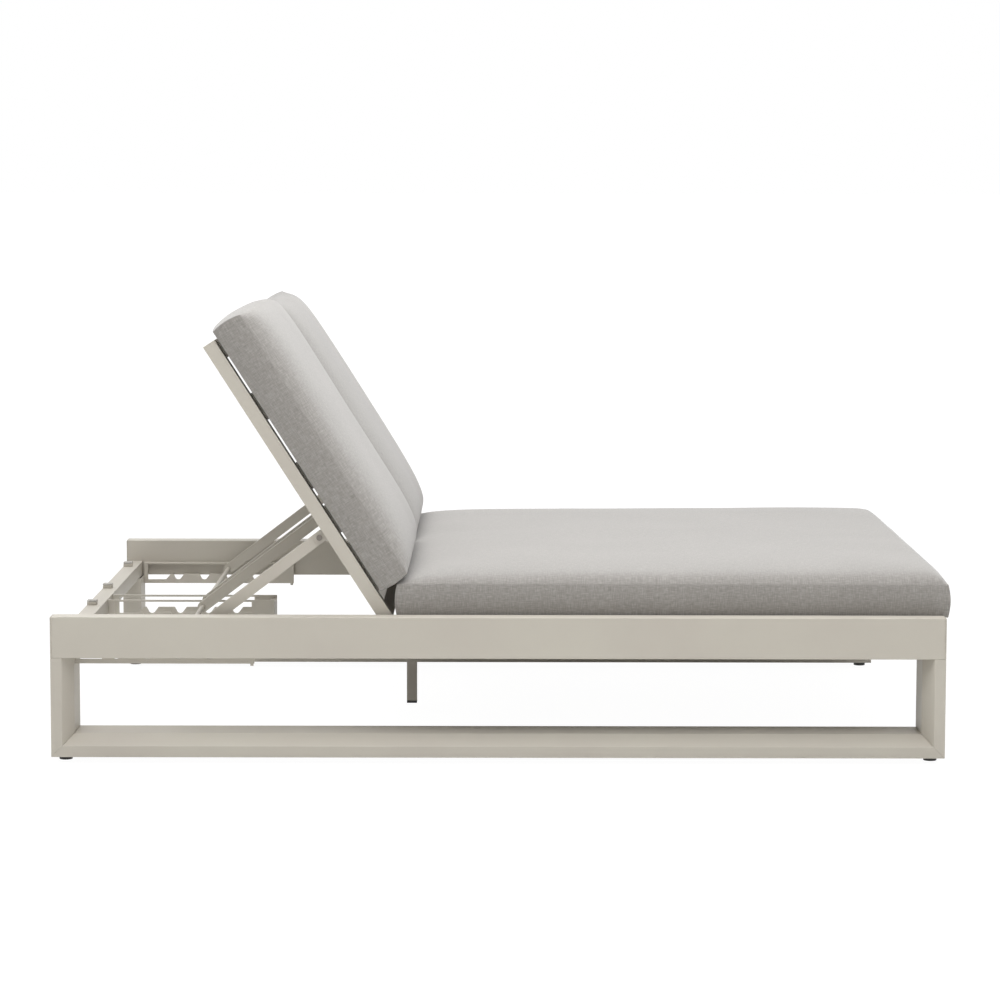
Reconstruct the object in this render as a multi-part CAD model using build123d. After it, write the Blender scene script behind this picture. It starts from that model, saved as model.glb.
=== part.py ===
from build123d import *
from math import cos, radians, sin
import os

os.makedirs("parts", exist_ok=True)

# Double chaise lounger in powder-coated aluminium, with one wide seat cushion and two
# separately reclining backrests. X runs from the head end to the foot end, Y across, Z up.
# The origin is on the floor, under the middle of the frame.

# Overall
length = 2000
width = 1550
rail_top = 332

# Side frames
rail_height = 92.5
rail_thickness = 50
rail_wall = 3
cap_thickness = 3
bar_size = 48
bar_depth = 140
bar_wall = 3
bevel_in_plane = 23
bevel_depth = 40
foot_height = 16
foot_diameter = 30
foot_stem_diameter = 8
foot_stem_length = 15

# Crossbars and seat deck
crossbar_width = 50
head_crossbar_width = 38
head_crossbar_inset = 5
crossbar_height = 37.5
crossbar_wall = 2.5
hinge_crossbar_offset = 27.5
bearer_width = 40
bearer_wall = 2.5
slat_thickness = 8
slat_width = 70
seat_slat_count = 8
bearer_head_gap = 24
bearer_foot_gap = 8

# Centre leg
leg_tube = 25
leg_tube_wall = 2
leg_cap_height = 6
leg_floor_gap = 13
leg_cap_plug = 12

# Hinges
hinge_from_head = 760
hinge_below_rail_top = 28
recline_angle = 57.35
hinge_bolt_diameter = 8
hinge_bush_diameter = 12
hinge_clearance = 0.08
lug_thickness = 5
lug_gap = 1.5
lug_radius = 13
lug_base = 40
bolt_head_diameter = 13
bolt_head_height = 5.5
hole_clearance = 0.1

# Backrests
back_frame_length = 753.7
back_frame_inner = 45
back_frame_side_gap = 8
back_rail_width = 40
back_rail_depth = 30
back_rail_wall = 2.5
head_tube_width = 48
lower_tube_width = 40
lower_tube_start = 16
rail_heel = 15
plug_thickness = 3
plug_depth = 14
back_slat_inset = 28
first_slat_from_top = 144
second_slat_from_top = 329
third_slat_from_top = 446
fourth_slat_from_top = 544
lower_slat_start = 82
lower_slat_width = 57

# Props
prop_pivot_along = 255
prop_pivot_behind = 29
prop_length = 403
prop_rest_angle = 37.2
prop_bar_width = 26
prop_bar_thickness = 14
prop_bolt_diameter = 8
prop_rod_diameter = 12
prop_tab_thickness = 3
prop_tab_gap = 1
prop_tab_width = 26
strut_from_rail_edge = 20
outer_strut_extra = 3
rod_end_overhang = 5

# Notched racks
rack_top_drop = 58
rack_height = 55.5
rack_strip = 4.5
tooth_height = 25.5
notch_depth = 15.5
rack_thickness = 6
outer_rack_gap = 11
inner_rack_gap = 3
rack_end_from_head = 451
window_end_margin = 56
window_start_gap = 16
rack_peg_width = 7
rack_peg_drop = 5
rack_peg_inset = 2
third_notch_from_head = 280
notch_pitch = 70
notch_count = 4
notch_rise_side = 13.5
notch_ramp_side = 16.5
notch_seat_half = 6.5
notch_seat_rise = 2.5
floor_ramp_top_from_head = 121
floor_ramp_run = 14
spacer_length = 16
spacer_inset = 8

# Blocks on the head crossbar, each with a rubber pad
pad_size = 23
pad_thickness = 4
pad_offset = 6
pad_clearance = 0.3
inner_pad_inset = 112
outer_pad_inset = 112

# Cushions
seat_cushion_hinge_gap = 18
seat_cushion_border = 70
seat_cushion_crown = 38
back_cushion_start = 82
back_cushion_overhang = 17.3
back_cushion_border = 72
back_cushion_crown = 52
back_cushion_middle_gap = 3
cushion_side_gap = 2
cushion_roll = 7
cushion_shoulder = 150
shoulder_height_share = 0.86
shoulder_mid_width_share = 0.42
shoulder_mid_height_share = 0.6
# Along a cushion: the place, the height of the crown there, and how far the sides draw in
seat_crown_shares = (
    (0.0, 0.07, 0.5),
    (0.012, 0.14, 0.0),
    (0.05, 0.42, 0.0),
    (0.13, 0.78, 0.0),
    (0.3, 0.93, 0.0),
    (0.7, 1.0, 0.0),
    (0.95, 0.98, 0.0),
    (0.98, 0.84, 0.0),
    (0.994, 0.5, 0.0),
    (1.0, 0.15, 0.5),
)
back_crown_shares = (
    (-0.018, 0.2, 3.5),
    (0.0, 0.45, 0.5),
    (0.012, 0.68, 0.0),
    (0.03, 0.86, 0.0),
    (0.1, 0.95, 0.0),
    (0.3, 1.0, 0.0),
    (0.7, 1.0, 0.0),
    (0.87, 0.94, 0.0),
    (0.94, 0.7, 0.0),
    (0.98, 0.34, 0.0),
    (1.0, 0.1, 0.5),
)

# Cutting tools run this far past the stock
overrun = 10

# Places worked out from the sizes above
half_length = length / 2
half_width = width / 2
rail_bottom = rail_top - rail_height
inner_face = half_width - rail_thickness
crossbar_bottom = rail_bottom
crossbar_top = crossbar_bottom + crossbar_height
head_crossbar_x = -half_length + head_crossbar_inset + head_crossbar_width / 2
rack_start_x = head_crossbar_x + head_crossbar_width / 2
outer_rack_start_x = -half_length + bar_size
foot_crossbar_x = half_length - crossbar_width / 2
hinge_x = -half_length + hinge_from_head
hinge_z = rail_top - hinge_below_rail_top
hinge_crossbar_x = hinge_x + hinge_crossbar_offset
mid_crossbar_x = (hinge_crossbar_x + foot_crossbar_x) / 2
back_frame_outer = inner_face - back_frame_side_gap
slat_underside = hinge_z + back_rail_depth / 2
deck_top = slat_underside + slat_thickness
bearer_start = hinge_x + bearer_head_gap
bearer_end = half_length - bearer_foot_gap
back_slat_places = (
    first_slat_from_top,
    second_slat_from_top,
    third_slat_from_top,
    fourth_slat_from_top,
)
hinge_axis = Axis((hinge_x, 0, hinge_z), (0, 1, 0))
sides = (("right", -1), ("left", 1))


def box(x0, x1, y0, y1, z0, z1):
    """A box between two corners."""
    centre = Pos((x0 + x1) / 2, (y0 + y1) / 2, (z0 + z1) / 2)
    return centre * Box(abs(x1 - x0), abs(y1 - y0), abs(z1 - z0))


def tube(x0, x1, y0, y1, z0, z1, wall, along):
    """A rectangular tube, open at both ends, that runs along one axis."""
    outer = box(x0, x1, y0, y1, z0, z1)
    grow = {axis: (overrun if axis == along else -wall) for axis in "xyz"}
    low_y, high_y = sorted((y0, y1))
    inner = box(
        x0 - grow["x"],
        x1 + grow["x"],
        low_y - grow["y"],
        high_y + grow["y"],
        z0 - grow["z"],
        z1 + grow["z"],
    )
    return outer - inner


def end_plug(x, inward, y0, y1, z0, z1, wall):
    """A plug that covers a tube's end at x and reaches into it, towards inward."""
    cover = box(x - inward * plug_thickness, x, y0, y1, z0, z1)
    low_y, high_y = sorted((y0, y1))
    stub_y = (low_y + wall, high_y - wall)
    stub = box(x, x + inward * plug_depth, *stub_y, z0 + wall, z1 - wall)
    return cover + stub


def pin(x, z, y0, y1, diameter):
    """A round bar across the lounger, from y0 to y1."""
    turned = Pos(x, (y0 + y1) / 2, z) * Rot(90, 0, 0)
    return turned * Cylinder(diameter / 2, abs(y1 - y0))


def side_plate(points, y0, y1):
    """A plate whose outline lies in the XZ plane, between y0 and y1."""
    low, high = sorted((y0, y1))
    wire = Polyline(*[(x, z) for x, z in points], close=True)
    face = make_face(Plane.XZ * wire)
    return Pos(0, high, 0) * extrude(face, high - low, dir=(0, -1, 0))


def save(part, name, label_colour):
    """Write one sub-part under its node name."""
    part.label = name
    part.color = Color(*label_colour)
    export_step(part, f"parts/{name}.step")


frame_colour = (0.72, 0.70, 0.66)
fabric_colour = (0.70, 0.69, 0.67)
black_colour = (0.08, 0.08, 0.08)
steel_colour = (0.45, 0.43, 0.41)


# Side frames: a rectangular top rail on a bevelled loop of mitred bars
def bar_profile(inset):
    """Outline of the bevelled bar, as (in-plane, depth) points from its outer corner."""
    slope = bevel_in_plane / bevel_depth
    return [
        (inset, inset),
        (bar_size - bevel_in_plane - inset + inset * slope, inset),
        (bar_size - inset, bevel_depth + inset * slope),
        (bar_size - inset, bar_depth - inset),
        (inset, bar_depth - inset),
    ]


def placed(part, end, sign):
    """Carry a piece drawn at the right head corner to another corner of the frame."""
    if end > 0:
        part = mirror(part, about=Plane.YZ)
    if sign > 0:
        part = mirror(part, about=Plane.XZ)
    return part


def leg(end, sign):
    """An upright of a side frame, mitred where it meets the lower bar."""
    corner = Pos(-half_length, -half_width, foot_height)
    run = rail_bottom - foot_height
    shell = make_face(Polyline(*bar_profile(0), close=True))
    core = make_face(Polyline(*bar_profile(bar_wall), close=True))
    stock = extrude(shell, run, dir=(0, 0, 1)) - extrude(core, run, dir=(0, 0, 1))
    outline = [
        (-half_length, foot_height),
        (-half_length + bar_size, foot_height + bar_size),
        (-half_length + bar_size, rail_bottom),
        (-half_length, rail_bottom),
    ]
    mitre = side_plate(outline, -half_width, -half_width + bar_depth)
    return placed((corner * stock) & mitre, end, sign)


def lower_bar(sign):
    """The bar near the floor, mitred at both ends, drilled for the two feet."""
    corner = Pos(-half_length, -half_width, foot_height)
    shell = Polyline(*[(0, depth, rise) for rise, depth in bar_profile(0)], close=True)
    core = Polyline(*[(0, depth, rise) for rise, depth in bar_profile(bar_wall)], close=True)
    stock = extrude(make_face(shell), length, dir=(1, 0, 0))
    stock -= extrude(make_face(core), length, dir=(1, 0, 0))
    stock = corner * stock
    outline = [
        (-half_length, foot_height),
        (half_length, foot_height),
        (half_length - bar_size, foot_height + bar_size),
        (-half_length + bar_size, foot_height + bar_size),
    ]
    bar = stock & side_plate(outline, -half_width, -half_width + bar_depth)
    for x, foot_y in foot_places(-1):
        hole = Cylinder(foot_stem_diameter / 2 + hole_clearance, bar_wall * 4)
        bar -= Pos(x, foot_y, foot_height) * hole
    return placed(bar, -1, sign)


def foot_places(sign):
    """Centres of the two feet under one side frame."""
    inset = half_length - bar_size / 2
    y = sign * (half_width - bar_depth / 2)
    return [(-inset, y), (inset, y)]


def foot(x, y):
    """A round glide with a stem that goes up through the bar's wall."""
    disc = Pos(x, y, foot_height / 2) * Cylinder(foot_diameter / 2, foot_height)
    stem = Cylinder(foot_stem_diameter / 2, foot_stem_length)
    return disc + Pos(x, y, foot_height + foot_stem_length / 2) * stem


feet = []
rail_caps = []
for side, sign in sides:
    outer_y = sign * half_width
    rail_start = -half_length + cap_thickness
    rail_end = half_length - cap_thickness
    rail_y = (outer_y, sign * inner_face)
    top_rail = tube(rail_start, rail_end, *rail_y, rail_bottom, rail_top, rail_wall, "x")
    save(top_rail, f"{side}_top_rail", frame_colour)
    save(leg(-1, sign), f"{side}_head_leg", frame_colour)
    save(leg(1, sign), f"{side}_foot_leg", frame_colour)
    save(lower_bar(sign), f"{side}_lower_bar", frame_colour)
    feet += [foot(x, y) for x, y in foot_places(sign)]
    rail_caps.append(box(-half_length, rail_start, *rail_y, rail_bottom, rail_top))
    rail_caps.append(box(rail_end, half_length, *rail_y, rail_bottom, rail_top))
save(Compound(children=feet), "foot_glides", black_colour)
save(Compound(children=rail_caps), "rail_end_caps", frame_colour)


# Crossbars between the two side frames
def crossbar(x, across):
    """A tube across the frame, its underside level with that of the rails."""
    half = across / 2
    reach = inner_face
    level = (crossbar_bottom, crossbar_top)
    return tube(x - half, x + half, -reach, reach, *level, crossbar_wall, "y")


save(crossbar(head_crossbar_x, head_crossbar_width), "head_crossbar", frame_colour)
crossbars = {
    "hinge_crossbar": hinge_crossbar_x,
    "seat_crossbar": mid_crossbar_x,
    "foot_crossbar": foot_crossbar_x,
}
for name, x in crossbars.items():
    save(crossbar(x, crossbar_width), name, frame_colour)


# Seat deck: four bearers that continue the line of the backrest rails, and slats on them
bearer_rows = {
    "right_seat_bearer": -back_frame_outer,
    "right_centre_bearer": -back_frame_inner - bearer_width,
    "left_centre_bearer": back_frame_inner,
    "left_seat_bearer": back_frame_outer - bearer_width,
}
bearer_plugs = []
for name, y in bearer_rows.items():
    row = (y, y + bearer_width)
    level = (crossbar_top, slat_underside)
    bearer = tube(bearer_start, bearer_end, *row, *level, bearer_wall, "x")
    save(bearer, name, frame_colour)
    bearer_plugs.append(end_plug(bearer_end, -1, *row, *level, bearer_wall))
save(Compound(children=bearer_plugs), "bearer_plugs", frame_colour)

slat_run = bearer_end - slat_width - bearer_start
slat_step = slat_run / (seat_slat_count - 1)
seat_slats = []
for i in range(seat_slat_count):
    x = bearer_start + i * slat_step
    reach = back_frame_outer
    seat_slats.append(box(x, x + slat_width, -reach, reach, slat_underside, deck_top))
save(Compound(children=seat_slats), "seat_slats", frame_colour)


# Centre leg under the hinge crossbar, with its end cap clear of the floor
leg_bottom = leg_floor_gap + leg_cap_height
half_leg = leg_tube / 2
leg_x = (hinge_crossbar_x - half_leg, hinge_crossbar_x + half_leg)
leg_y = (-half_leg, half_leg)
centre_leg = tube(*leg_x, *leg_y, leg_bottom, crossbar_bottom, leg_tube_wall, "z")
save(centre_leg, "centre_leg", frame_colour)
cap = box(*leg_x, *leg_y, leg_floor_gap, leg_bottom)
half_plug = half_leg - leg_tube_wall
plug_x = (hinge_crossbar_x - half_plug, hinge_crossbar_x + half_plug)
plug = box(*plug_x, -half_plug, half_plug, leg_bottom, leg_bottom + leg_cap_plug)
save(cap + plug, "centre_leg_cap", black_colour)


# Notched racks that the prop rods drop into
half_rack = rack_thickness / 2
rack_top = rail_top - rack_top_drop
rack_bottom = rack_top - rack_height
tooth_top = rack_bottom + tooth_height
notch_bottom = tooth_top - notch_depth
rack_end_x = -half_length + rack_end_from_head
window_end_x = rack_end_x - window_end_margin
third_notch_x = -half_length + third_notch_from_head
floor_ramp_top_x = -half_length + floor_ramp_top_from_head
outer_rack_y = inner_face - outer_rack_gap - half_rack
inner_rack_y = back_frame_inner + inner_rack_gap


def rack_plate(start, y0, y1):
    """A plate with a window whose lower edge has a floor and four notches."""
    plate = box(start, rack_end_x, y0, y1, rack_bottom, rack_top)
    window_start = rack_start_x + window_start_gap
    ceiling = rack_top - rack_strip
    with BuildSketch(Plane.XZ) as sketch:
        with BuildLine():
            Polyline(
                (window_start, notch_bottom),
                (floor_ramp_top_x - floor_ramp_run, notch_bottom),
                (floor_ramp_top_x, tooth_top),
            )
            here = (floor_ramp_top_x, tooth_top)
            for i in range(notch_count):
                x = third_notch_x + (i - 2) * notch_pitch
                rise = (x - notch_rise_side, tooth_top)
                low = (x - notch_seat_half, notch_bottom + notch_seat_rise)
                seat = (x + notch_seat_half, notch_bottom + notch_seat_rise)
                ramp = (x + notch_ramp_side, tooth_top)
                Line(here, rise)
                Line(rise, low)
                ThreePointArc(low, (x, notch_bottom), seat)
                Line(seat, ramp)
                here = ramp
            Polyline(
                here,
                (window_end_x, tooth_top),
                (window_end_x, ceiling),
                (window_start, ceiling),
                (window_start, notch_bottom),
            )
        make_face()
    low_y, high_y = sorted((y0, y1))
    depth = high_y - low_y + 2 * overrun
    window = Pos(0, high_y + overrun, 0) * extrude(sketch.sketch, depth, dir=(0, -1, 0))
    return plate - window


for side, sign in sides:
    outer_plate = rack_plate(
        outer_rack_start_x,
        sign * (outer_rack_y - half_rack),
        sign * (outer_rack_y + half_rack),
    )
    flange = box(
        outer_rack_start_x,
        rack_end_x,
        sign * (outer_rack_y + half_rack),
        sign * inner_face,
        rack_top - rack_strip,
        rack_top,
    )
    peg = box(
        rack_end_x - rack_peg_inset - rack_peg_width,
        rack_end_x - rack_peg_inset,
        sign * (outer_rack_y - half_rack),
        sign * (outer_rack_y + half_rack),
        rack_bottom - rack_peg_drop,
        rack_bottom,
    )
    save(outer_plate + flange + peg, f"{side}_outer_rack", frame_colour)
    inner_plate = rack_plate(
        rack_start_x,
        sign * (inner_rack_y - half_rack),
        sign * (inner_rack_y + half_rack),
    )
    save(inner_plate, f"{side}_inner_rack", frame_colour)

spacer_reach = inner_rack_y - half_rack
spacer = box(
    rack_end_x - spacer_length,
    rack_end_x,
    -spacer_reach,
    spacer_reach,
    rack_bottom + spacer_inset,
    rack_top - spacer_inset,
)
save(spacer, "rack_spacer", frame_colour)


# Blocks with pads that the backrests lie on when they are flat
blocks = []
pads = []
pad_top = hinge_z - back_rail_depth / 2 - pad_clearance
inner_pad_y = back_frame_inner + inner_pad_inset
outer_pad_y = back_frame_outer - outer_pad_inset
for y in (-outer_pad_y, -inner_pad_y, inner_pad_y, outer_pad_y):
    x = -half_length + pad_offset
    half = pad_size / 2
    square = (x, x + pad_size, y - half, y + half)
    blocks.append(box(*square, crossbar_top, pad_top - pad_thickness))
    pads.append(box(*square, pad_top - pad_thickness, pad_top))
save(Compound(children=blocks), "head_blocks", frame_colour)
save(Compound(children=pads), "head_pads", steel_colour)


# Hinges: lugs on the hinge crossbar and a bolt through each backrest rail
def lug(y0, y1):
    """A plate that stands on the hinge crossbar and carries a hinge bolt."""
    base_x = hinge_crossbar_x - crossbar_width / 2
    outline = [
        (base_x, crossbar_top),
        (base_x + lug_base, crossbar_top),
        (hinge_x + lug_radius, hinge_z),
        (hinge_x - lug_radius, hinge_z),
    ]
    plate = side_plate(outline, y0, y1) + pin(hinge_x, hinge_z, y0, y1, 2 * lug_radius)
    bore = hinge_bolt_diameter + 2 * hole_clearance
    low, high = sorted((y0, y1))
    return plate - pin(hinge_x, hinge_z, low - overrun, high + overrun, bore)


def rail_rows(sign):
    """The inner and the outer faces of a backrest's two rails, as Y pairs."""
    outer = (back_frame_outer - back_rail_width, back_frame_outer)
    inner = (back_frame_inner, back_frame_inner + back_rail_width)
    return {"outer": [sign * y for y in outer], "inner": [sign * y for y in inner]}


for side, sign in sides:
    lugs = []
    bolts = []
    for place, (near_y, far_y) in rail_rows(sign).items():
        below = near_y - sign * lug_gap
        above = far_y + sign * lug_gap
        below_end = below - sign * lug_thickness
        above_end = above + sign * lug_thickness
        lugs.append(lug(below, below_end))
        lugs.append(lug(above, above_end))
        head_at = below_end if place == "outer" else above_end
        tip_at = above_end if place == "outer" else below_end
        out = 1 if head_at > tip_at else -1
        head_end = head_at + out * bolt_head_height
        shank = pin(hinge_x, hinge_z, head_at, tip_at, hinge_bolt_diameter)
        bolts.append(shank + pin(hinge_x, hinge_z, head_at, head_end, bolt_head_diameter))
    save(Compound(children=lugs), f"{side}_hinge_lugs", frame_colour)
    save(Compound(children=bolts), f"{side}_hinge_bolts", steel_colour)


# Backrests, drawn flat with their head end at -X and then turned up about the hinge
def turned_up(part):
    """Turn a flat backrest piece up to the angle of the photograph."""
    return part.rotate(hinge_axis, recline_angle)


def back_box(s0, s1, y0, y1, n0, n1):
    """A box at s along the backrest from the hinge and n in front of its rails."""
    return box(hinge_x - s1, hinge_x - s0, y0, y1, hinge_z + n0, hinge_z + n1)


def back_rail(y0, y1):
    """A backrest rail with its hinge hole."""
    half = back_rail_depth / 2
    start = hinge_x - back_frame_length + plug_thickness
    end = hinge_x + rail_heel
    rail = tube(start, end, y0, y1, hinge_z - half, hinge_z + half, back_rail_wall, "x")
    low, high = sorted((y0, y1))
    bore = hinge_bush_diameter + 2 * hole_clearance
    return rail - pin(hinge_x, hinge_z, low - overrun, high + overrun, bore)


def bush(y0, y1):
    """A bush in a rail, with a running bore for the hinge bolt."""
    body = pin(hinge_x, hinge_z, y0, y1, hinge_bush_diameter)
    low, high = sorted((y0, y1))
    bore = hinge_bolt_diameter + 2 * hinge_clearance
    return body - pin(hinge_x, hinge_z, low - overrun, high + overrun, bore)


outer_strut_y = back_frame_outer - strut_from_rail_edge - outer_strut_extra
inner_strut_y = back_frame_inner + strut_from_rail_edge
pivot_x = hinge_x - prop_pivot_along
pivot_z = hinge_z - prop_pivot_behind
strut_half = prop_bar_thickness / 2


def prop_tab(y0, y1):
    """A tab behind a rail that carries the prop's bolt."""
    half = prop_tab_width / 2
    back_face = hinge_z - back_rail_depth / 2
    low_z = pivot_z
    plate = box(pivot_x - half, pivot_x + half, y0, y1, low_z, back_face)
    plate += pin(pivot_x, pivot_z, y0, y1, prop_tab_width)
    low, high = sorted((y0, y1))
    bore = prop_bolt_diameter + 2 * hole_clearance
    return plate - pin(pivot_x, pivot_z, low - overrun, high + overrun, bore)


def back_slats(y0, y1):
    """The slats across one backrest, on the front of its rails."""
    front = back_rail_depth / 2
    rows = [(back_frame_length - head_tube_width, head_tube_width)]
    for from_top in back_slat_places:
        rows.append((back_frame_length - from_top - slat_width, slat_width))
    rows.append((lower_slat_start, lower_slat_width))
    return [back_box(s, s + w, y0, y1, front, front + slat_thickness) for s, w in rows]


# A cushion: flat underneath, swelling sides, and a crown that falls to its borders
def cushion_section(x, half, border, crown, inset):
    """One cross-section of a cushion, as a closed wire at x along it."""
    edge = half - cushion_roll - inset
    bulge = half - inset
    low = inset
    high = border - inset
    shoulder = edge - cushion_shoulder
    shoulder_z = high + crown * shoulder_height_share
    mid = edge - cushion_shoulder * shoulder_mid_width_share
    mid_z = high + crown * shoulder_mid_height_share
    middle = (low + high) / 2
    plane = Plane(origin=(x, 0, 0), x_dir=(0, 1, 0), z_dir=(1, 0, 0))
    edges = [
        Line((-edge, low), (edge, low)),
        ThreePointArc((edge, low), (bulge, middle), (edge, high)),
        ThreePointArc((edge, high), (mid, mid_z), (shoulder, shoulder_z)),
        ThreePointArc((shoulder, shoulder_z), (0, high + crown), (-shoulder, shoulder_z)),
        ThreePointArc((-shoulder, shoulder_z), (-mid, mid_z), (-edge, high)),
        ThreePointArc((-edge, high), (-bulge, middle), (-edge, low)),
    ]
    return plane * Wire(edges)


def cushion(span, across, border, crown, shares):
    """A cushion from x = 0 to span, centred on Y, lying on z = 0."""
    sections = []
    for place_share, height_share, inset_share in shares:
        inset = cushion_roll * inset_share
        height = crown * height_share
        wire = cushion_section(span * place_share, across / 2, border, height, inset)
        sections.append(make_face(wire))
    return loft(sections, ruled=True)


back_cushion_length = back_frame_length + back_cushion_overhang - back_cushion_start
back_cushion_inner_y = back_cushion_middle_gap
back_cushion_outer_y = inner_face - cushion_side_gap
for side, sign in sides:
    rows = rail_rows(sign)
    half = back_rail_depth / 2
    plugs = []
    for place, (y0, y1) in rows.items():
        save(turned_up(back_rail(y0, y1)), f"{side}_{place}_back_rail", frame_colour)
        plug_x = hinge_x - back_frame_length + plug_thickness
        level = (hinge_z - half, hinge_z + half)
        plugs.append(turned_up(end_plug(plug_x, 1, y0, y1, *level, back_rail_wall)))
    save(Compound(children=plugs), f"{side}_back_rail_plugs", frame_colour)
    between = (rows["inner"][1], rows["outer"][0])
    head_end = hinge_x - back_frame_length
    head_x = (head_end, head_end + head_tube_width)
    back_z = (hinge_z - half, hinge_z + half)
    head_tube = tube(*head_x, *between, *back_z, back_rail_wall, "y")
    save(turned_up(head_tube), f"{side}_back_head_tube", frame_colour)
    lower_x = (hinge_x - lower_tube_start - lower_tube_width, hinge_x - lower_tube_start)
    lower_tube = tube(*lower_x, *between, *back_z, back_rail_wall, "y")
    save(turned_up(lower_tube), f"{side}_back_lower_tube", frame_colour)
    slat_start = rows["inner"][0] + sign * back_slat_inset
    slat_end = rows["outer"][1] - sign * back_slat_inset
    slats = back_slats(slat_start, slat_end)
    slats = [turned_up(slat) for slat in slats]
    save(Compound(children=slats), f"{side}_back_slats", frame_colour)
    bushes = [turned_up(bush(y0, y1)) for y0, y1 in rows.values()]
    save(Compound(children=bushes), f"{side}_hinge_bushes", black_colour)

    tabs = []
    bolts = []
    struts = {"outer": sign * outer_strut_y, "inner": sign * inner_strut_y}
    reach = strut_half + prop_tab_gap
    for y in struts.values():
        tabs.append(prop_tab(y - reach - prop_tab_thickness, y - reach))
        tabs.append(prop_tab(y + reach, y + reach + prop_tab_thickness))
        outside = reach + prop_tab_thickness
        shank = pin(pivot_x, pivot_z, y - outside, y + outside, prop_bolt_diameter)
        head_y = y + sign * outside
        head_end_y = head_y + sign * bolt_head_height
        bolts.append(shank + pin(pivot_x, pivot_z, head_y, head_end_y, bolt_head_diameter))
    tabs = [turned_up(tab) for tab in tabs]
    bolts = [turned_up(bolt) for bolt in bolts]
    save(Compound(children=tabs), f"{side}_prop_tabs", frame_colour)
    save(Compound(children=bolts), f"{side}_prop_bolts", steel_colour)

    back_across = back_cushion_outer_y - back_cushion_inner_y
    pad = cushion(
        back_cushion_length,
        back_across,
        back_cushion_border,
        back_cushion_crown,
        back_crown_shares,
    )
    front = back_rail_depth / 2 + slat_thickness
    place = Pos(
        hinge_x - back_cushion_start - back_cushion_length,
        sign * (back_cushion_outer_y + back_cushion_inner_y) / 2,
        hinge_z + front,
    )
    save(turned_up(place * pad), f"{side}_back_cushion", fabric_colour)


# Props: two bars and a rod, hung from the tabs behind each backrest
theta = radians(recline_angle)
pivot_at_rest = (
    hinge_x - prop_pivot_along * cos(theta) - prop_pivot_behind * sin(theta),
    hinge_z + prop_pivot_along * sin(theta) - prop_pivot_behind * cos(theta),
)


def swung(part):
    """Turn a level prop piece down from its bolt to the angle of the photograph."""
    axis = Axis((pivot_at_rest[0], 0, pivot_at_rest[1]), (0, 1, 0))
    return part.rotate(axis, -prop_rest_angle)


def prop_bar(y):
    """A bar with round ends, bored for the bolt at one end and the rod at the other."""
    x, z = pivot_at_rest
    foot_x = x - prop_length
    y0 = y - strut_half
    y1 = y + strut_half
    half = prop_bar_width / 2
    bar = box(foot_x, x, y0, y1, z - half, z + half)
    bar += pin(x, z, y0, y1, prop_bar_width)
    bar += pin(foot_x, z, y0, y1, prop_bar_width)
    bolt_bore = prop_bolt_diameter + 2 * hinge_clearance
    bar -= pin(x, z, y0 - overrun, y1 + overrun, bolt_bore)
    return bar - pin(foot_x, z, y0 - overrun, y1 + overrun, prop_rod_diameter)


for side, sign in sides:
    x, z = pivot_at_rest
    save(swung(prop_bar(sign * outer_strut_y)), f"{side}_prop_outer_bar", frame_colour)
    save(swung(prop_bar(sign * inner_strut_y)), f"{side}_prop_inner_bar", frame_colour)
    rod_outer = sign * (outer_rack_y + half_rack + rod_end_overhang)
    rod_inner = sign * (inner_rack_y - half_rack - rod_end_overhang)
    rod = pin(x - prop_length, z, rod_inner, rod_outer, prop_rod_diameter)
    save(swung(rod), f"{side}_prop_rod", steel_colour)


# Seat cushion, one piece across both places
seat_cushion_start_x = hinge_x + seat_cushion_hinge_gap
seat_cushion_length = half_length - seat_cushion_start_x
seat_across = 2 * (inner_face - cushion_side_gap)
seat_pad = cushion(
    seat_cushion_length,
    seat_across,
    seat_cushion_border,
    seat_cushion_crown,
    seat_crown_shares,
)
seat_pad = Pos(seat_cushion_start_x, 0, deck_top) * seat_pad
save(seat_pad, "seat_cushion", fabric_colour)
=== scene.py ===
from math import exp, pi, radians, sin

import bmesh
import bpy
from mathutils import Matrix, Vector, noise


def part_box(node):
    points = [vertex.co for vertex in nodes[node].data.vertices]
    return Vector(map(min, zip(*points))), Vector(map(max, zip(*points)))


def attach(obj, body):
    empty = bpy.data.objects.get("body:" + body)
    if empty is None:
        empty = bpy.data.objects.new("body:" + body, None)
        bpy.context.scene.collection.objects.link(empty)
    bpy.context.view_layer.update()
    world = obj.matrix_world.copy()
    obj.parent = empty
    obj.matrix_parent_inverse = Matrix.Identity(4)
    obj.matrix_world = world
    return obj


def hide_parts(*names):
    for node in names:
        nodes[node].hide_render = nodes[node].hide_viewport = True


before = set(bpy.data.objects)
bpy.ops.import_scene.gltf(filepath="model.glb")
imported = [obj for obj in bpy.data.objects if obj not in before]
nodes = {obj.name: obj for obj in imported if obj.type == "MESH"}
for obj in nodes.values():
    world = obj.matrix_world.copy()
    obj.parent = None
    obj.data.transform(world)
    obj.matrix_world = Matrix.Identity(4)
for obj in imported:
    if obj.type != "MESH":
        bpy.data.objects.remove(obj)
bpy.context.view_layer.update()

# The photographer's view: a long lens almost square on to the side of the lounger, a little
# above seat height, level but for a slight look down.
lens_length = 115.17
film_width = 36
stand_place = (-0.0096, -7.8394, 1.3160)
look_down = -0.10156
look_aside = -0.00179
tip_over = -0.002
sight_range = 500
scene = bpy.context.scene
photo_camera = bpy.data.objects.new("photo_camera", bpy.data.cameras.new("photo_camera"))
photo_camera.data.sensor_fit = "HORIZONTAL"
photo_camera.data.sensor_width = film_width
photo_camera.data.lens = lens_length
photo_camera.data.clip_end = sight_range
tipped = Matrix.Rotation(look_down, 4, "X") @ Matrix.Rotation(tip_over, 4, "Y")
turned = Matrix.Rotation(look_aside, 4, "Z") @ tipped
upright = Matrix.Rotation(radians(90), 4, "X")
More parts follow.
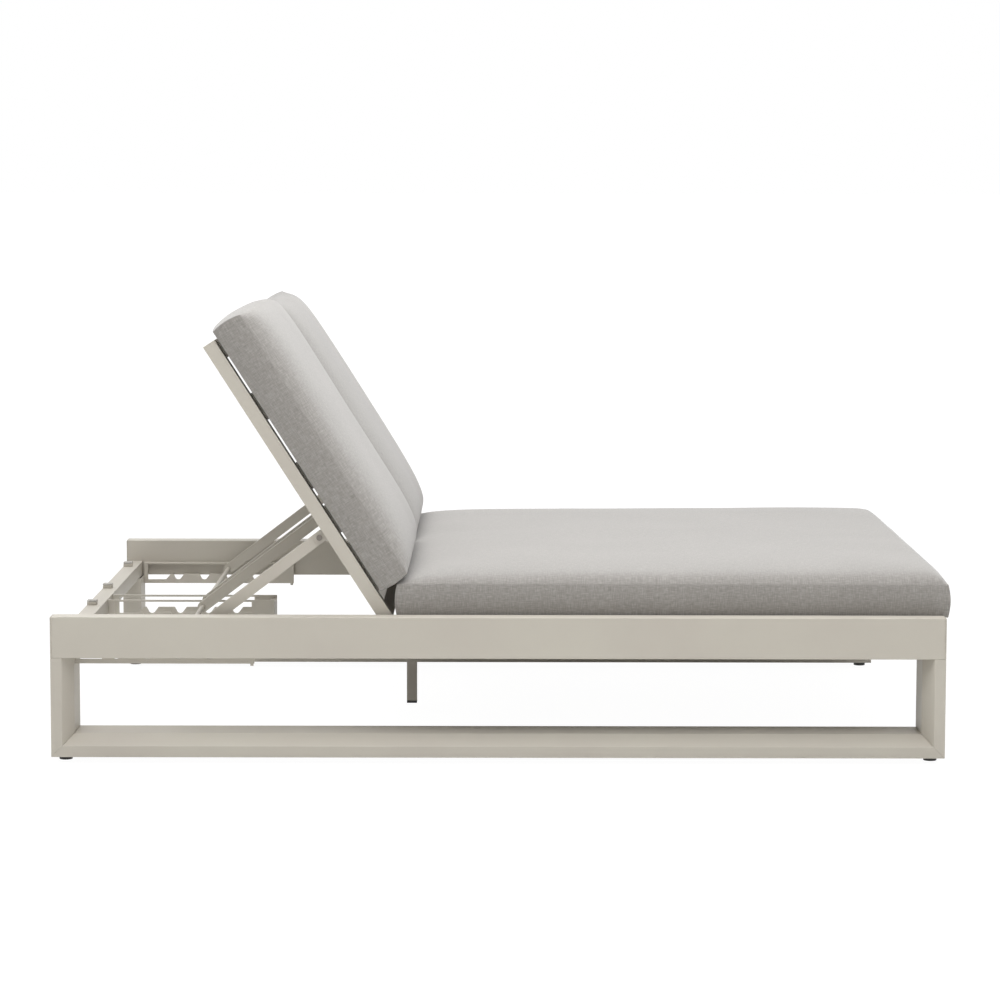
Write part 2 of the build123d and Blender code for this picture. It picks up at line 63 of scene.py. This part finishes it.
photo_camera.matrix_world = Matrix.Translation(stand_place) @ turned @ upright
scene.collection.objects.link(photo_camera)
scene.camera = photo_camera
scene.view_settings.view_transform = "Standard"

# The studio floor: pale paper that reads as plain white in the picture but still takes a faint
# soft shadow close to the lounger, and throws light back up under it.
floor_size = 400
floor_bounce = "#F0F0EE"
floor_white = 1.08
shadow_share = 0.1
shadow_reach = (1.3, 2.4)


def linear(colour):
    """Blender's linear colour for an sRGB hex value."""
    parts = [int(colour[i : i + 2], 16) / 255 for i in (1, 3, 5)]
    return [c / 12.92 if c <= 0.04045 else ((c + 0.055) / 1.055) ** 2.4 for c in parts] + [1]


def add(tree, kind, settings=None, **sockets):
    """Add a node; a socket is named with _ for a space and takes a value or a link."""
    made = tree.nodes.new(kind)
    for name, value in (settings or {}).items():
        setattr(made, name, value)
    for name, value in sockets.items():
        key = int(name[1:]) if name[0] == "i" and name[1:].isdigit() else name.replace("_", " ")
        socket = made.inputs[key]
        if isinstance(value, bpy.types.NodeSocket):
            tree.links.new(value, socket)
        else:
            socket.default_value = value
    return made


def new_finish(name):
    """An empty material and its node tree."""
    finish = bpy.data.materials.new(name)
    finish.use_nodes = True
    finish.node_tree.nodes.clear()
    return finish, finish.node_tree


studio_floor, tree = new_finish("studio_floor")
rays = add(tree, "ShaderNodeLightPath")
seen = add(
    tree,
    "ShaderNodeMath",
    {"operation": "MAXIMUM"},
    i0=rays.outputs["Is Camera Ray"],
    i1=rays.outputs["Is Glossy Ray"],
)
coords = add(tree, "ShaderNodeTexCoord")
away = add(tree, "ShaderNodeVectorMath", {"operation": "LENGTH"}, i0=coords.outputs["Object"])
pale = add(
    tree,
    "ShaderNodeMapRange",
    {"interpolation_type": "SMOOTHSTEP"},
    Value=away.outputs["Value"],
    From_Min=shadow_reach[0],
    From_Max=shadow_reach[1],
    To_Min=1 - shadow_share,
)
white_share = add(
    tree,
    "ShaderNodeMath",
    {"operation": "MULTIPLY"},
    i0=seen.outputs[0],
    i1=pale.outputs["Result"],
)
shaded = add(tree, "ShaderNodeBsdfDiffuse", Color=linear(floor_bounce))
white = add(tree, "ShaderNodeEmission", Color=(1, 1, 1, 1), Strength=floor_white)
paper = add(
    tree,
    "ShaderNodeMixShader",
    i0=white_share.outputs[0],
    i1=shaded.outputs[0],
    i2=white.outputs[0],
)
add(tree, "ShaderNodeOutputMaterial", Surface=paper.outputs[0])
floor_mesh = bpy.data.meshes.new("floor")
half_floor = floor_size / 2
corner_signs = ((-1, -1), (1, -1), (1, 1), (-1, 1))
floor_corners = [(x * half_floor, y * half_floor, 0) for x, y in corner_signs]
floor_mesh.from_pydata(floor_corners, [], [(0, 1, 2, 3)])
floor_mesh.materials.append(studio_floor)
floor = bpy.data.objects.new("floor", floor_mesh)
scene.collection.objects.link(floor)

# The room and its lamps: brightest overhead and at the lit backdrop, plain white wherever the
# camera looks, with one wide soft panel above and a weak one past the foot end.
horizon_level = 0.05
zenith_level = 0.7
backdrop_level = 1.0
room = bpy.data.worlds.new("white_room")
room.use_nodes = True
tree = room.node_tree
tree.nodes.clear()
rays = add(tree, "ShaderNodeLightPath")
seen = add(
    tree,
    "ShaderNodeMath",
    {"operation": "MAXIMUM"},
    i0=rays.outputs["Is Camera Ray"],
    i1=rays.outputs["Is Glossy Ray"],
)
seen_too = add(
    tree,
    "ShaderNodeMath",
    {"operation": "MAXIMUM"},
    i0=seen.outputs[0],
    i1=rays.outputs["Is Transmission Ray"],
)
towards = add(tree, "ShaderNodeTexCoord")
bearing = add(tree, "ShaderNodeSeparateXYZ", Vector=towards.outputs["Generated"])
sky = add(
    tree,
    "ShaderNodeMapRange",
    Value=bearing.outputs["Z"],
    To_Min=horizon_level,
    To_Max=zenith_level,
)
backdrop = add(
    tree,
    "ShaderNodeMapRange",
    Value=bearing.outputs["Y"],
    To_Min=0,
    To_Max=backdrop_level,
)
walls = add(
    tree,
    "ShaderNodeMath",
    {"operation": "ADD"},
    i0=sky.outputs[0],
    i1=backdrop.outputs[0],
)
level = add(
    tree,
    "ShaderNodeMapRange",
    Value=seen_too.outputs[0],
    To_Min=walls.outputs[0],
    To_Max=1,
)
glow = add(tree, "ShaderNodeBackground", Color=(1, 1, 1, 1), Strength=level.outputs[0])
add(tree, "ShaderNodeOutputWorld", Surface=glow.outputs[0])
scene.world = room
for name, place, target, size, power in (
    ("overhead_panel", (0.0, -1.3, 4.0), (0.0, 0, 0.3), 4.5, 203),
    ("foot_side_panel", (4.5, -3.5, 2.2), (0.2, 0, 0.3), 2.5, 6),
):
    lamp = bpy.data.lights.new(name, "AREA")
    lamp.size = size
    lamp.energy = power
    holder = bpy.data.objects.new(name, lamp)
    aim = (Vector(target) - Vector(place)).to_track_quat("-Z", "Y")
    holder.matrix_world = Matrix.Translation(place) @ aim.to_matrix().to_4x4()
    scene.collection.objects.link(holder)

# Frame, racks, props and slats: extruded aluminium in a matt greige powder coat. The baked
# powder has a faint orange peel and is as good as even in colour; its edges are eased.
mm = 0.001
coat_colours = ("#B7B1A7", "#BBB6AB")
coat_roughness = (0.42, 0.54)
coat_ior = 1.5
cloud_size = 260 * mm
cloud_edge = (0.35, 0.65)
# Orange peel is about 1 mm across; drawn at 3 mm, because the picture has 2.2 mm to a pixel.
peel_size = 3 * mm
peel_depth = 0.2 * mm
powder_coat, tree = new_finish("greige_powder_coat")
coords = add(tree, "ShaderNodeTexCoord")
where = coords.outputs["Object"]
clouds = add(tree, "ShaderNodeTexNoise", Vector=where, Scale=1 / cloud_size, Detail=2)
tint = add(tree, "ShaderNodeValToRGB", Fac=clouds.outputs["Fac"])
for stop, place, colour in zip(tint.color_ramp.elements, cloud_edge, coat_colours):
    stop.position = place
    stop.color = linear(colour)
peel = add(tree, "ShaderNodeTexNoise", Vector=where, Scale=1 / peel_size, Detail=3)
gloss = add(
    tree,
    "ShaderNodeMapRange",
    Value=peel.outputs["Fac"],
    To_Min=coat_roughness[0],
    To_Max=coat_roughness[1],
)
dimple = add(
    tree,
    "ShaderNodeBump",
    Height=peel.outputs["Fac"],
    Strength=0.12,
    Distance=peel_depth,
)
coat = add(
    tree,
    "ShaderNodeBsdfPrincipled",
    Base_Color=tint.outputs["Color"],
    Roughness=gloss.outputs["Result"],
    Normal=dimple.outputs["Normal"],
    IOR=coat_ior,
)
add(tree, "ShaderNodeOutputMaterial", Surface=coat.outputs[0])
touching = 0.01 * mm
flat_within = radians(0.6)
edge_from = radians(35)


def ease_edges(piece, width):
    """Join a CAD node's triangles and round its edges, all as live modifiers."""
    weld = piece.modifiers.new("joined", "WELD")
    weld.merge_threshold = touching
    flat = piece.modifiers.new("flats", "DECIMATE")
    flat.decimate_type = "DISSOLVE"
    flat.angle_limit = flat_within
    ease = piece.modifiers.new("eased_edges", "BEVEL")
    ease.width = width
    ease.segments = 2
    ease.limit_method = "ANGLE"
    ease.angle_limit = edge_from
    ease.use_clamp_overlap = True
    ease.harden_normals = False


def finish_node(name, finish, width):
    """Give a CAD node its finish and its eased edges."""
    piece = nodes[name]
    piece.data.materials.clear()
    piece.data.materials.append(finish)
    if width:
        ease_edges(piece, width)


stock_edge = 1.2 * mm
plate_edge = 0.6 * mm
side_names = ("right", "left")
stock = ["head_crossbar", "hinge_crossbar", "seat_crossbar", "foot_crossbar"]
stock += ["right_seat_bearer", "right_centre_bearer", "left_centre_bearer", "left_seat_bearer"]
stock += ["centre_leg", "seat_slats", "bearer_plugs", "rail_end_caps", "head_blocks"]
plates = ["rack_spacer"]
for side in side_names:
    stock += [f"{side}_{part}" for part in ("top_rail", "head_leg", "foot_leg", "lower_bar")]
    stock += [f"{side}_{part}" for part in ("outer_back_rail", "inner_back_rail")]
    stock += [f"{side}_{part}" for part in ("back_head_tube", "back_lower_tube", "back_slats")]
    stock += [f"{side}_{part}" for part in ("prop_outer_bar", "prop_inner_bar")]
    plates += [f"{side}_{part}" for part in ("outer_rack", "inner_rack", "hinge_lugs")]
    plates += [f"{side}_{part}" for part in ("prop_tabs", "back_rail_plugs", "prop_rod")]
for name in stock:
    finish_node(name, powder_coat, stock_edge)
for name in plates:
    finish_node(name, powder_coat, plate_edge)

# Feet, centre leg cap and hinge bushes: injection moulded polyamide, dull black, with the
# fine spark-eroded grain of the mould. The bushes sit inside the rails and stay sharp-edged.
moulded_black = "#1D1C1B"
moulded_edge = 0.8 * mm
# Mould grain is about 0.1 mm; drawn at 1.5 mm, because a pixel shows 2.2 mm.
mould_grain = 1.5 * mm
grain_depth = 0.1 * mm
black_polyamide, tree = new_finish("black_polyamide")
coords = add(tree, "ShaderNodeTexCoord")
grain = add(tree, "ShaderNodeTexNoise", Vector=coords.outputs["Object"], Scale=1 / mould_grain)
dull = add(tree, "ShaderNodeMapRange", Value=grain.outputs["Fac"], To_Min=0.5, To_Max=0.7)
pits = add(
    tree,
    "ShaderNodeBump",
    Height=grain.outputs["Fac"],
    Strength=0.2,
    Distance=grain_depth,
)
moulded = add(
    tree,
    "ShaderNodeBsdfPrincipled",
    Base_Color=linear(moulded_black),
    Roughness=dull.outputs["Result"],
    Normal=pits.outputs["Normal"],
    IOR=1.53,
)
add(tree, "ShaderNodeOutputMaterial", Surface=moulded.outputs[0])
for name in ("foot_glides", "centre_leg_cap"):
    finish_node(name, black_polyamide, moulded_edge)
for side in side_names:
    finish_node(f"{side}_hinge_bushes", black_polyamide, 0)

# Rest pads on the blocks of the head crossbar: moulded grey rubber, paler where it has gone
# chalky in the sun, with rounded edges.
rubber_colours = ("#A19E99", "#B5B2AD")
rubber_edge = 1.2 * mm
bloom_size = 6 * mm
bloom_depth = 0.2 * mm
grey_rubber, tree = new_finish("grey_rubber")
coords = add(tree, "ShaderNodeTexCoord")
bloom = add(
    tree,
    "ShaderNodeTexNoise",
    Vector=coords.outputs["Object"],
    Scale=1 / bloom_size,
    Detail=4,
)
chalk = add(tree, "ShaderNodeValToRGB", Fac=bloom.outputs["Fac"])
for stop, colour in zip(chalk.color_ramp.elements, rubber_colours):
    stop.color = linear(colour)
soft = add(
    tree,
    "ShaderNodeBump",
    Height=bloom.outputs["Fac"],
    Strength=0.15,
    Distance=bloom_depth,
)
rubber = add(
    tree,
    "ShaderNodeBsdfPrincipled",
    Base_Color=chalk.outputs["Color"],
    Roughness=0.75,
    Normal=soft.outputs["Normal"],
    IOR=1.52,
)
add(tree, "ShaderNodeOutputMaterial", Surface=rubber.outputs[0])
finish_node("head_pads", grey_rubber, rubber_edge)

# Hinge bolts and prop bolts: zinc-plated steel that has dulled to a dark grey brown, with fine
# turned marks round the shank.
zinc_colours = ("#6E6862", "#8B857E")
bolt_edge = 0.9 * mm
# Turned marks are about 0.1 mm apart; drawn at 1.2 mm, because a pixel shows 2.2 mm.
turned_mark = 1.2 * mm
mark_depth = 0.05 * mm
mark_stretch = (0.15, 1, 0.15)
dull_zinc, tree = new_finish("dull_zinc_steel")
coords = add(tree, "ShaderNodeTexCoord")
stretch = add(tree, "ShaderNodeMapping", Vector=coords.outputs["Object"], Scale=mark_stretch)
marks = add(
    tree,
    "ShaderNodeTexNoise",
    Vector=stretch.outputs[0],
    Scale=1 / turned_mark,
    Detail=3,
)
patina = add(tree, "ShaderNodeValToRGB", Fac=marks.outputs["Fac"])
for stop, colour in zip(patina.color_ramp.elements, zinc_colours):
    stop.color = linear(colour)
worn = add(tree, "ShaderNodeMapRange", Value=marks.outputs["Fac"], To_Min=0.35, To_Max=0.55)
lathe = add(
    tree,
    "ShaderNodeBump",
    Height=marks.outputs["Fac"],
    Strength=0.1,
    Distance=mark_depth,
)
zinc = add(
    tree,
    "ShaderNodeBsdfPrincipled",
    Base_Color=patina.outputs["Color"],
    Metallic=0.85,
    Roughness=worn.outputs["Result"],
    Normal=lathe.outputs["Normal"],
)
add(tree, "ShaderNodeOutputMaterial", Surface=zinc.outputs[0])
for side in side_names:
    finish_node(f"{side}_hinge_bolts", dull_zinc, bolt_edge)
    finish_node(f"{side}_prop_bolts", dull_zinc, bolt_edge)

# Cushion covers: a plain weave of solution-dyed acrylic in a light grey melange. Pale and dark
# yarns of uneven thickness run both ways, so the cloth is streaked along and across, and its
# nap catches light that grazes it.
yarn_colours = ("#615C56", "#77726C", "#8E8A84")
# The yarns are about 0.6 mm apart; drawn as slubs of 2 mm, because a pixel shows 2.2 mm.
slub_width = 2.0 * mm
slub_length = 18 * mm
melange_size = 7 * mm
melange_share = 0.5
fade_size = 180 * mm
fade_share = 0.2
tone_range = (0.85, 1.85)
nap_depth = 0.5 * mm
melange_cloth, tree = new_finish("melange_acrylic_weave")
run = add(tree, "ShaderNodeUVMap", {"uv_map": "cloth_run"})
streaks = []
for lengthwise in ((1 / slub_length, 1 / slub_width, 1), (1 / slub_width, 1 / slub_length, 1)):
    drawn = add(tree, "ShaderNodeMapping", Vector=run.outputs[0], Scale=lengthwise)
    yarn = add(
        tree,
        "ShaderNodeTexNoise",
        {"noise_dimensions": "2D"},
        Vector=drawn.outputs[0],
        Scale=1,
        Detail=2,
    )
    streaks.append(yarn.outputs["Fac"])
crossed = add(tree, "ShaderNodeMath", {"operation": "ADD"}, i0=streaks[0], i1=streaks[1])
fleck = add(
    tree,
    "ShaderNodeTexNoise",
    {"noise_dimensions": "2D"},
    Vector=run.outputs[0],
    Scale=1 / melange_size,
    Detail=4,
)
mixed = add(
    tree,
    "ShaderNodeMath",
    {"operation": "MULTIPLY_ADD"},
    i0=fleck.outputs["Fac"],
    i1=melange_share,
    i2=crossed.outputs[0],
)
fade = add(
    tree,
    "ShaderNodeTexNoise",
    {"noise_dimensions": "2D"},
    Vector=run.outputs[0],
    Scale=1 / fade_size,
)
aged = add(
    tree,
    "ShaderNodeMath",
    {"operation": "MULTIPLY_ADD"},
    i0=fade.outputs["Fac"],
    i1=fade_share,
    i2=mixed.outputs[0],
)
tone = add(
    tree,
    "ShaderNodeMapRange",
    Value=aged.outputs[0],
    From_Min=tone_range[0],
    From_Max=tone_range[1],
)
dyed = add(tree, "ShaderNodeValToRGB", Fac=tone.outputs["Result"])
dyed.color_ramp.elements.new(0.5)
for stop, colour in zip(dyed.color_ramp.elements, yarn_colours):
    stop.color = linear(colour)
nap = add(tree, "ShaderNodeBump", Height=mixed.outputs[0], Strength=0.35, Distance=nap_depth)
cloth_surface = add(
    tree,
    "ShaderNodeBsdfPrincipled",
    Base_Color=dyed.outputs["Color"],
    Roughness=0.92,
    Normal=nap.outputs["Normal"],
    IOR=1.45,
    Sheen_Weight=0.45,
    Sheen_Roughness=0.85,
)
add(tree, "ShaderNodeOutputMaterial", Surface=cloth_surface.outputs[0])

# A sewn cushion: a top and a bottom panel joined by a boxing strip, filled until the panels
# crown and the strip bulges. The seams hold it in, so it rises fast beside them.
seam_steps = [0, 3 * mm, 8 * mm, 15 * mm, 24 * mm, 36 * mm, 52 * mm, 72 * mm]
cloth_cell = 22 * mm
boxing_shares = (0, 0.06, 0.18, 0.34, 0.5, 0.66, 0.82, 0.94, 1)
side_pull = 3 * mm
# These powers keep a side's pull and an end's bow even until close to a corner.
pull_power = 6
bow_power = 4
# The cover is sewn at this share of its full shape, and the filling pushes it the rest.
packed_share = 0.9
least_swell = 0.2 * mm
slack_times = 5
lower_seam_sharpness = 0.7
corner_sharpness = 0.45


def panel_places(size):
    """Grid lines of a panel, close together beside its two seams."""
    inner = size - 2 * seam_steps[-1]
    count = round(inner / cloth_cell)
    middle = [seam_steps[-1] + inner * i / count for i in range(1, count)]
    return seam_steps + middle + [size - step for step in reversed(seam_steps)]


def roll_over(distance, fall, slack_share):
    """How far a panel has risen at a distance from its seam: fast at first, then slowly."""
    quick = 1 - exp(-distance / fall)
    slow = 1 - exp(-distance / (slack_times * fall))
    return quick + slack_share * (slow - quick)


def crown_at(shape, x, y):
    """How high the top panel stands over its seams at a place on it."""
    length, across = shape["length"], shape["across"]
    start_fall, end_fall, side_fall = shape["falls"]
    start_slack, end_slack, side_slack = shape["slack_shares"]
    start_crown, end_crown = shape["crowns"]
    rise = roll_over(x, start_fall, start_slack)
    drop = roll_over(length - x, end_fall, end_slack)
    over = roll_over(min(y, across - y), side_fall, side_slack)
    return (start_crown + (end_crown - start_crown) * x / length) * rise * drop * over


def drawn_in(shape, x, y):
    """Where a place on a panel lies once the filling draws its sides in between the corners."""
    length, across = shape["length"], shape["across"]
    start_bow, end_bow = shape["bows"]
    u = 2 * x / length - 1
    v = 2 * y / across - 1
    pull_x = side_pull * (1 - v**pull_power) * u
    pull_y = side_pull * (1 - u**pull_power) * v
    bow = end_bow * (x / length) ** pull_power - start_bow * (1 - x / length) ** pull_power
    return x - pull_x + bow * (1 - v**bow_power), y - pull_y


def sew(name, shape):
    """Sew one cover, flat with a corner at the origin, and say how far each point may swell."""
    border = shape["border"]
    xs = panel_places(shape["length"])
    ys = panel_places(shape["across"])
    last_x = len(xs) - 1
    last_y = len(ys) - 1
    sewn = bmesh.new()
    run = sewn.loops.layers.uv.new("cloth_run")
    crease = sewn.edges.layers.float.new("crease_edge")
    reach = {}
    top = []
    bottom = []
    for x in xs:
        top.append([])
        bottom.append([])
        for y in ys:
            risen = crown_at(shape, x, y)
            place = drawn_in(shape, x, y)
            upper = sewn.verts.new((*place, border + risen * packed_share))
            lower = sewn.verts.new((*place, 0))
            reach[upper] = risen * (1 - packed_share) + least_swell
            reach[lower] = 0
            top[-1].append(upper)
            bottom[-1].append(lower)
    for i in range(last_x):
        for j in range(last_y):
            corners = ((i, j), (i + 1, j), (i + 1, j + 1), (i, j + 1))
            for panel, order in ((top, corners), (bottom, corners[::-1])):
                face = sewn.faces.new([panel[a][b] for a, b in order])
                for loop, (a, b) in zip(face.loops, order):
                    loop[run].uv = (xs[a], ys[b])
    ring = [(i, 0) for i in range(last_x)]
    ring += [(last_x, j) for j in range(last_y)]
    ring += [(i, last_y) for i in range(last_x, 0, -1)]
    ring += [(0, j) for j in range(last_y, 0, -1)]
    rows = []
    for share in boxing_shares:
        row = []
        for i, j in ring:
            if share in (0, 1):
                row.append((top if share else bottom)[i][j])
                continue
            x, y = drawn_in(shape, xs[i], ys[j])
            out = Vector((-(i == 0) + (i == last_x), -(j == 0) + (j == last_y), 0))
            swell = sin(pi * share) * shape["bulge"]
            made = sewn.verts.new(Vector((x, y, border * share)) + out * swell * packed_share)
            reach[made] = swell * (1 - packed_share)
            row.append(made)
        rows.append(row)
    around = [0]
    for k in range(1, len(ring) + 1):
        a, b = ring[k - 1], ring[k % len(ring)]
        around.append(around[-1] + abs(xs[a[0]] - xs[b[0]]) + abs(ys[a[1]] - ys[b[1]]))
    for r in range(len(rows) - 1):
        for k in range(len(ring)):
            after = (k + 1) % len(ring)
            face = sewn.faces.new((rows[r][k], rows[r][after], rows[r + 1][after], rows[r + 1][k]))
            low = border * boxing_shares[r]
            high = border * boxing_shares[r + 1]
            spots = ((k, low), (k + 1, low), (k + 1, high), (k, high))
            for loop, (spot, height) in zip(face.loops, spots):
                loop[run].uv = (around[spot], height)
    for row, sharpness in ((rows[0], lower_seam_sharpness), (rows[-1], shape["seam"])):
        for k, seam_point in enumerate(row):
            seam = sewn.edges.get((seam_point, row[(k + 1) % len(row)]))
            seam[crease] = sharpness
    for corner in ((0, 0), (last_x, 0), (last_x, last_y), (0, last_y)):
        k = ring.index(corner)
        for r in range(len(rows) - 1):
            sewn.edges.get((rows[r][k], rows[r + 1][k]))[crease] = corner_sharpness
    sewn.verts.index_update()
    limits = [0.0] * len(sewn.verts)
    for point, limit in reach.items():
        limits[point.index] = limit
    mesh = bpy.data.meshes.new(name)
    sewn.to_mesh(mesh)
    sewn.free()
    cover = bpy.data.objects.new(name, mesh)
    scene.collection.objects.link(cover)
    return cover, limits


filling_steps = 20
filling_pressure = 4
cloth_weight = 0.3
cloth_stretch = 18
cloth_shear = 8
cloth_bending = 0.6


def fill(cover, limits):
    """Blow the cover up with cloth pressure and keep each point within its limit."""
    start = [point.co.copy() for point in cover.data.vertices]
    cloth = cover.modifiers.new("filling", "CLOTH")
    cloth.settings.quality = 5
    cloth.settings.mass = cloth_weight
    cloth.settings.tension_stiffness = cloth_stretch
    cloth.settings.compression_stiffness = cloth_stretch
    cloth.settings.shear_stiffness = cloth_shear
    cloth.settings.bending_stiffness = cloth_bending
    cloth.settings.use_pressure = True
    cloth.settings.uniform_pressure_force = filling_pressure
    cloth.settings.effector_weights.gravity = 0
    cloth.point_cache.frame_start = 1
    cloth.point_cache.frame_end = filling_steps
    for step in range(filling_steps):
        scene.frame_set(step + 1)
    blown = cover.evaluated_get(bpy.context.evaluated_depsgraph_get())
    swollen = [point.co.copy() for point in blown.data.vertices]
    cover.modifiers.remove(cloth)
    scene.frame_set(1)
    for point, here, there, limit in zip(cover.data.vertices, start, swollen, limits):
        move = there - here
        if move.length > limit:
            move *= limit / move.length
        point.co = here + move


wave_size = 210 * mm
wave_height = 1.6 * mm
wave_edge = 20 * mm
pucker_size = 30 * mm
pucker_height = 0.8 * mm
pucker_reach = 28 * mm
resting_height = 0.5 * mm


def settle(cover, shape, place, finish):
    """Let the cover lie in soft waves with puckers at its seams, then put it in its place."""
    length, across = shape["length"], shape["across"]
    for point in cover.data.vertices:
        x, y, z = point.co
        if z < resting_height:
            continue
        edge = min(x, length - x, y, across - y)
        spot = place @ point.co
        wave = noise.noise(spot / wave_size) * wave_height
        beside = exp(-abs(edge) / pucker_reach)
        pucker = noise.noise(spot / pucker_size) * pucker_height * beside
        lift = min(1, max(edge, 0) / wave_edge)
        point.co.z += wave * lift + pucker * min(1, z / shape["border"])
    cover.data.transform(place)
    for face in cover.data.polygons:
        face.use_smooth = True
    cover.data.materials.append(finish)
    rounded = cover.modifiers.new("rounded_cover", "SUBSURF")
    rounded.levels = 1
    rounded.render_levels = 1


# Seat cushion: one wide pad across both places, lying on the slats between the side rails. It
# is fuller and blunter at its foot end, which stands a little past the rails.
seat_tuck = 6 * mm
seat_overhang = 10 * mm
seat_low, seat_high = (Vector(corner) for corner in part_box("seat_cushion"))
seat_shape = {
    "length": seat_high.x - seat_low.x + seat_tuck + seat_overhang,
    "across": seat_high.y - seat_low.y,
    "border": 74 * mm,
    "crowns": (33 * mm, 40 * mm),
    "falls": (20 * mm, 9 * mm, 11 * mm),
    "slack_shares": (0.5, 0.15, 0.5),
    "bows": (0, 2 * mm),
    "bulge": 6 * mm,
    "seam": 0.6,
}
seat_cover, limits = sew("seat_cushion_cover", seat_shape)
fill(seat_cover, limits)
seat_place = Matrix.Translation(seat_low - Vector((seat_tuck, 0, 0)))
settle(seat_cover, seat_shape, seat_place, melange_cloth)
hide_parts("seat_cushion")
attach(seat_cover, "base")

# Back cushions: a loose, full pad on each backrest, its lower edge just above the seat cushion,
# held by its own weight on the sloping slats. It rolls over softly at its long sides.
hinge = Vector((-0.240, 0, 0.304))
rest_angle = 57.35
recline = Matrix.Rotation(radians(rest_angle), 4, "Y")
turned_up = Matrix.Translation(hinge) @ recline @ Matrix.Translation(-hinge)
back_start = 82 * mm
back_behind = 23 * mm
back_inner = 5 * mm
for side, sign, head_bow, head_fall in (
    ("right", -1, 14 * mm, 7 * mm),
    ("left", 1, -8 * mm, 13 * mm),
):
    back_shape = {
        "length": 689 * mm,
        "across": 718 * mm,
        "border": 72 * mm,
        "crowns": (54 * mm, 49 * mm),
        "falls": (head_fall, 10 * mm, 16 * mm),
        "slack_shares": (0.2, 0.5, 0.5),
        "bows": (head_bow, 0),
        "bulge": 6 * mm,
        "seam": 0.2,
    }
    back_cover, limits = sew(f"{side}_back_cushion_cover", back_shape)
    fill(back_cover, limits)
    corner_x = hinge.x - back_start - back_shape["length"]
    corner_y = back_inner if sign > 0 else -back_inner - back_shape["across"]
    corner = Vector((corner_x, corner_y, hinge.z + back_behind))
    back_place = turned_up @ Matrix.Translation(corner)
    settle(back_cover, back_shape, back_place, melange_cloth)
    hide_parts(f"{side}_back_cushion")
    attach(back_cover, f"{side}_backrest")
